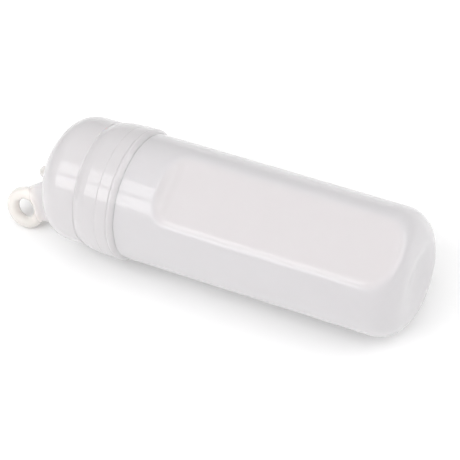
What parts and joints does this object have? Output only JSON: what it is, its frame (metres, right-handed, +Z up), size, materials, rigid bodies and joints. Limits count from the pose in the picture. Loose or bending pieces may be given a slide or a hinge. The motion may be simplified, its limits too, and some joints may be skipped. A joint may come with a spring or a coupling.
{
  "type": "sample vial",
  "caption": "Milky plastic sample vial with a domed screw cap, lanyard eyes on the dome, a sealing ring and two flat side panels, lying on its side.",
  "frame": {"origin": "centre of the bounding box on the surface that the vial lies on", "axes": "+X along the vial's axis from the cap to the base, +Z up, the lanyard eyes lowest"},
  "size_m": [0.1066, 0.0316, 0.0316],
  "materials": {
    "vial_plastic": "natural milky translucent moulded plastic, smooth gloss",
    "cap_plastic": "natural milky translucent moulded plastic, smooth gloss",
    "seal_silicone": "soft satin translucent white silicone"
  },
  "bodies": {
    "vial": {"vial_body": "vial_plastic"},
    "seal": {"seal_ring": "seal_silicone"},
    "cap": {"screw_cap": "cap_plastic"}
  },
  "joints": [
    {"name": "cap_lift", "type": "slide", "parent": "vial", "child": "seal", "axis": [-1, 0, 0], "range_m": [0, 0.014]},
    {"name": "cap_turn", "type": "hinge", "parent": "seal", "child": "cap", "pos_m": [-0.03, 0, 0.01584], "axis": [-1, 0, 0], "range_deg": [0, 1440]}
  ],
  "couplings": [
    {"joint": "cap_lift", "follows": "cap_turn", "m_per_rad": 0.000557}
  ]
}
